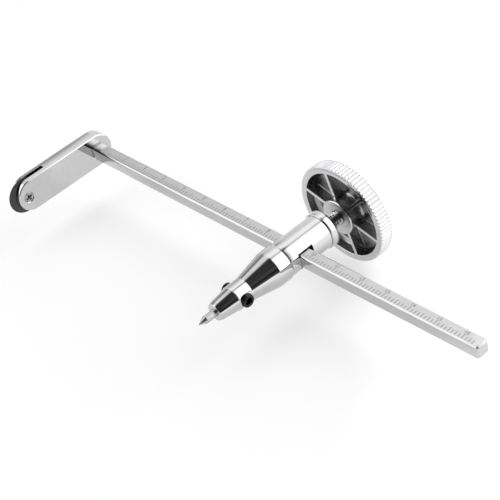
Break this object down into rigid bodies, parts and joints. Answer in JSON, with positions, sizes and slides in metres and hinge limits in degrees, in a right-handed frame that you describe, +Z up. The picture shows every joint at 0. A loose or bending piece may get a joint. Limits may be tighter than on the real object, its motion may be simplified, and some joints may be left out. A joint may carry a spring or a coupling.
{
  "type": "beam marking gauge",
  "caption": "Marking gauge with a centre point in a turned head, a square scaled beam clamped by a hand wheel, and an end arm with a scribing wheel.",
  "frame": {"origin": "tip of the centre point", "axes": "+Y from the tip along the head to the hand wheel, +X along the beam to its free end, +Z up"},
  "size_m": [0.2246, 0.0826, 0.0438],
  "materials": {
    "chromed_steel": "bright nickel chrome plating",
    "chromed_casting": "bright chrome plating on a die casting",
    "beam_steel": "satin plated bar with a faint engraved scale",
    "hardened_steel": "ground and hardened, darker than the plating",
    "black_oxide": "black oxide",
    "point_steel": "ground steel",
    "brass": "turned brass"
  },
  "bodies": {
    "head": {"barrel": "chromed_steel", "nose": "chromed_steel", "collar": "chromed_steel"},
    "beam": {"beam": "beam_steel", "end_arm": "chromed_steel", "arm_screw": "chromed_steel", "axle_screw": "chromed_steel"},
    "scribing_wheel": {"scribing_wheel": "hardened_steel"},
    "centre_point": {"centre_point": "point_steel"},
    "set_screw_front": {"set_screw_front": "black_oxide"},
    "set_screw_back": {"set_screw_back": "black_oxide"},
    "pressure_pad": {"pressure_pad": "brass"},
    "hand_wheel": {"hand_wheel": "chromed_casting", "stem": "chromed_steel", "hub_screw": "chromed_steel"}
  },
  "joints": [
    {"name": "beam_slide", "type": "slide", "parent": "head", "child": "beam", "axis": [1, 0, 0], "range_m": [-0.085, 0.114]},
    {"name": "wheel_spin", "type": "hinge", "parent": "beam", "child": "scribing_wheel", "pos_m": [-0.1265, 0.0116, 0], "axis": [1, 0, 0], "continuous": true},
    {"name": "point_slide", "type": "slide", "parent": "head", "child": "centre_point", "axis": [0, -1, 0], "range_m": [-0.004, 0.004]},
    {"name": "set_screw_front_turn", "type": "hinge", "parent": "head", "child": "set_screw_front", "pos_m": [0, 0.0202, 0], "axis": [1, 0, 0], "range_deg": [0, 360]},
    {"name": "set_screw_back_turn", "type": "hinge", "parent": "head", "child": "set_screw_back", "pos_m": [0, 0.0202, 0], "axis": [-1, 0, 0], "range_deg": [0, 360]},
    {"name": "clamp_advance", "type": "slide", "parent": "head", "child": "pressure_pad", "axis": [0, 1, 0], "range_m": [0, 0.00255]},
    {"name": "hand_wheel_turn", "type": "hinge", "parent": "pressure_pad", "child": "hand_wheel", "pos_m": [0, 0.0786, 0], "axis": [0, 1, 0], "range_deg": [0, 720]}
  ],
  "couplings": [
    {"joint": "clamp_advance", "follows": "hand_wheel_turn", "m_per_rad": 0.00020213}
  ]
}
